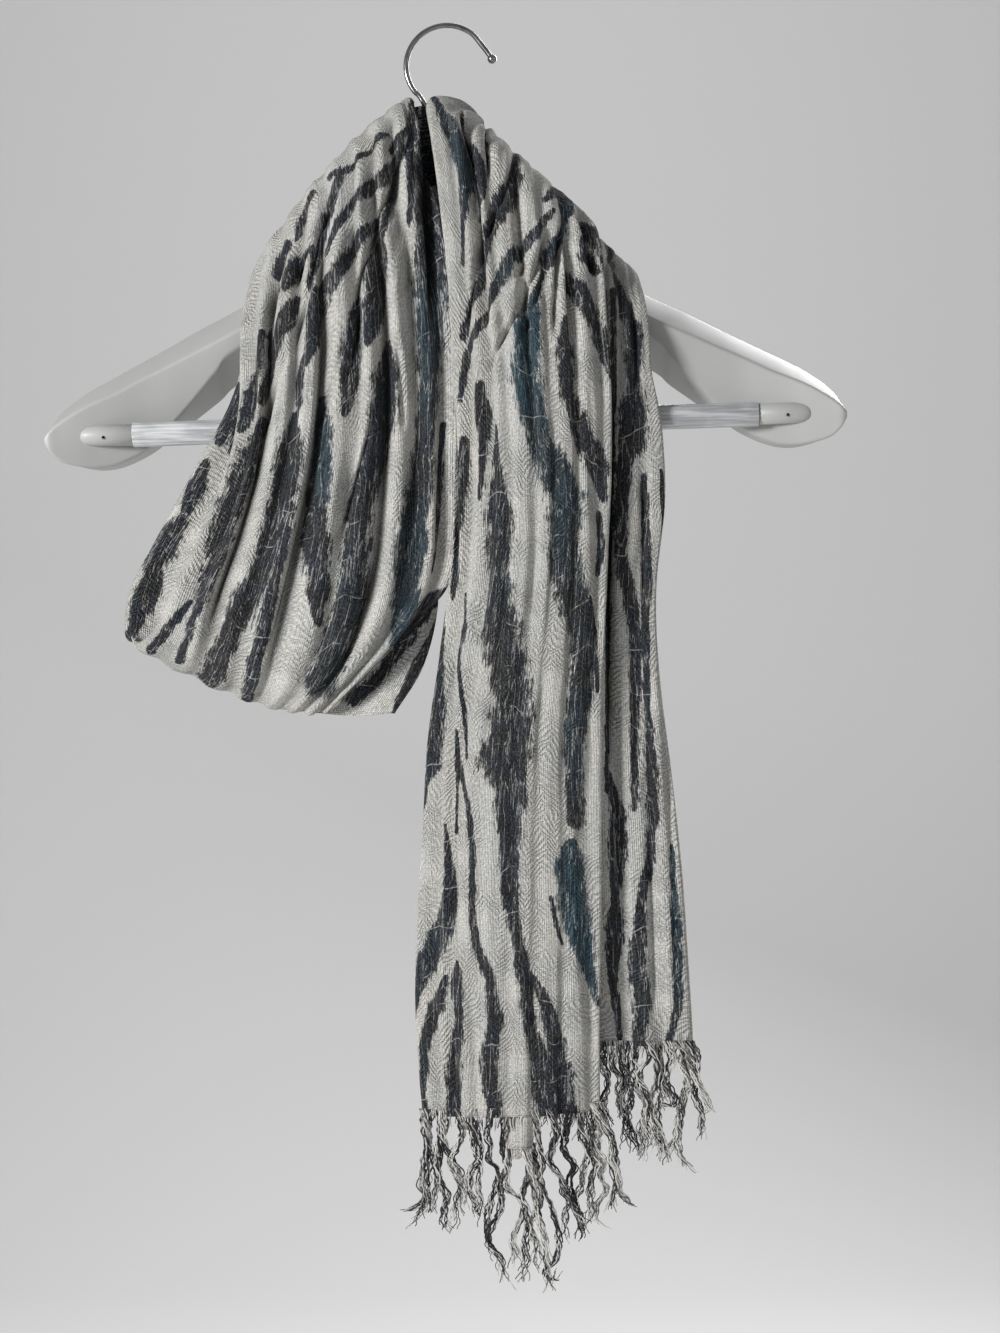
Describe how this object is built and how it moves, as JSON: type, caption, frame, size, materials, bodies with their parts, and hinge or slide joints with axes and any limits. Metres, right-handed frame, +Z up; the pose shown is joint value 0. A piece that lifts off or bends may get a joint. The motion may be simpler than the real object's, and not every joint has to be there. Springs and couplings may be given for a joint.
{
  "type": "fringed scarf on a coat hanger",
  "caption": "Long pleated scarf with knotted fringe ends, doubled and looped behind the hook of a wide-shoulder coat hanger with a trouser bar.",
  "frame": {"origin": "inside top of the hanger's hook, where a peg or rail carries it", "axes": "+Z up, +X to the right of someone facing the front, the front faces -Y"},
  "size_m": [0.4519, 0.078, 0.7061],
  "materials": {
    "print_cloth": "crinkled gauze weave, off-white ground with ink and teal brushed streaks",
    "fringe_yarn": "twisted yarn locks, off-white and charcoal",
    "white_plastic": "smooth white, softly glossy",
    "clear_sleeve": "cloudy grey ribbed grip sleeve",
    "chrome_wire": "dark polished wire"
  },
  "bodies": {
    "root": {"crossing": "print_cloth", "loop_front": "print_cloth", "loop_back": "print_cloth", "tail_front": "print_cloth", "tail_back": "print_cloth", "fringe_front": "fringe_yarn", "fringe_back": "fringe_yarn", "hanger_body": "white_plastic", "bar_sleeve": "clear_sleeve", "bar_cap_left": "white_plastic", "bar_cap_right": "white_plastic", "hook": "chrome_wire"}
  },
  "joints": []
}
